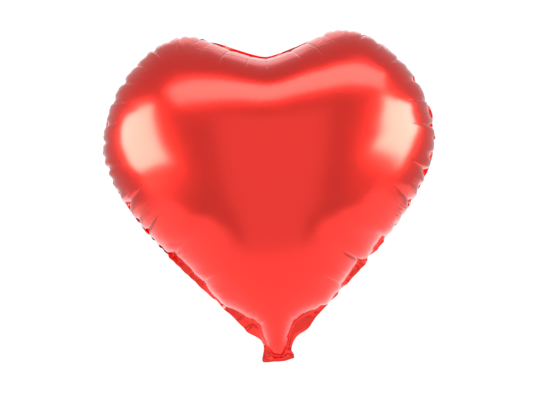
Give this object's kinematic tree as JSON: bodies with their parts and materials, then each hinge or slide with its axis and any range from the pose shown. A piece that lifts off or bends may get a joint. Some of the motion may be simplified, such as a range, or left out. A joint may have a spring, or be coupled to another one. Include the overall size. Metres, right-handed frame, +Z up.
{
  "type": "heart-shaped foil balloon",
  "caption": "Inflated heart-shaped foil balloon with a sealed flange all round, a self-closing film valve and a short flat tail that folds at the neck.",
  "frame": {"origin": "middle of the neck's fold line, where the flat tail meets the inflated heart and a ribbon is tied, in the flat seam plane", "axes": "+Z up through the heart from the tail to the notch, +Y out of the back panel, -Y out of the front panel, X across the heart in the seam plane"},
  "size_m": [0.36, 0.195, 0.358],
  "materials": {
    "red_foil_front": "satin red metallised film",
    "red_foil_back": "satin red metallised film",
    "sealing_film": "fused clear sealing layer over silver",
    "valve_film": "clear soft film",
    "release_print": "thin matt coating"
  },
  "bodies": {
    "envelope": {"front_panel": "red_foil_front", "back_panel": "red_foil_back", "seam_weld": "sealing_film", "valve_front_film": "valve_film", "valve_back_film": "valve_film", "valve_edge_welds": "valve_film", "valve_release_print": "release_print"},
    "tail": {"tail_front_film": "red_foil_front", "tail_back_film": "red_foil_back", "tail_side_welds": "sealing_film", "tail_foot_weld": "sealing_film"}
  },
  "joints": [
    {"name": "tail_fold", "type": "hinge", "parent": "envelope", "child": "tail", "pos_m": [0, 0, 0], "axis": [1, 0, 0], "range_deg": [-90, 90]}
  ]
}
